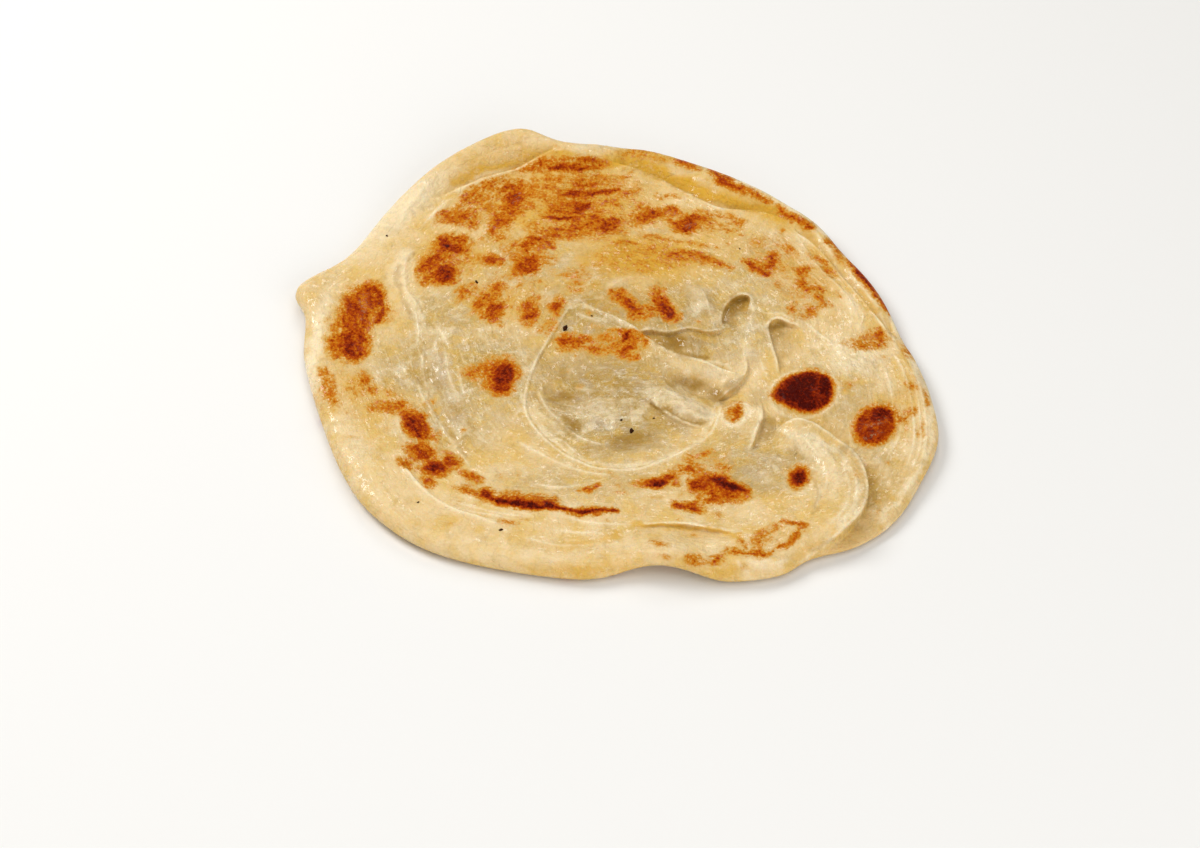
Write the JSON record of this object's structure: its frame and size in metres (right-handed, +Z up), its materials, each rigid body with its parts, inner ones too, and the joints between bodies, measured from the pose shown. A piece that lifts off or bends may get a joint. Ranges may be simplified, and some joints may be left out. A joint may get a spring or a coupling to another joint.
{
  "type": "paratha flatbread",
  "caption": "Round layered pan-fried flatbread lying flat, with coiled folds, a curled back rim and a folded-over lobe at the front.",
  "frame": {"origin": "middle of the bread's plan, on the surface it lies on", "axes": "+Z up through the bread's thickness, +Y towards the curled rim at the back, +X to the right as seen from the front"},
  "size_m": [0.1718, 0.168, 0.0119],
  "materials": {
    "baked_dough": "pale cream-yellow layered dough with toasted brown and dark blistered spots, lightly oiled satin sheen"
  },
  "bodies": {
    "root": {"paratha": "baked_dough"}
  },
  "joints": []
}
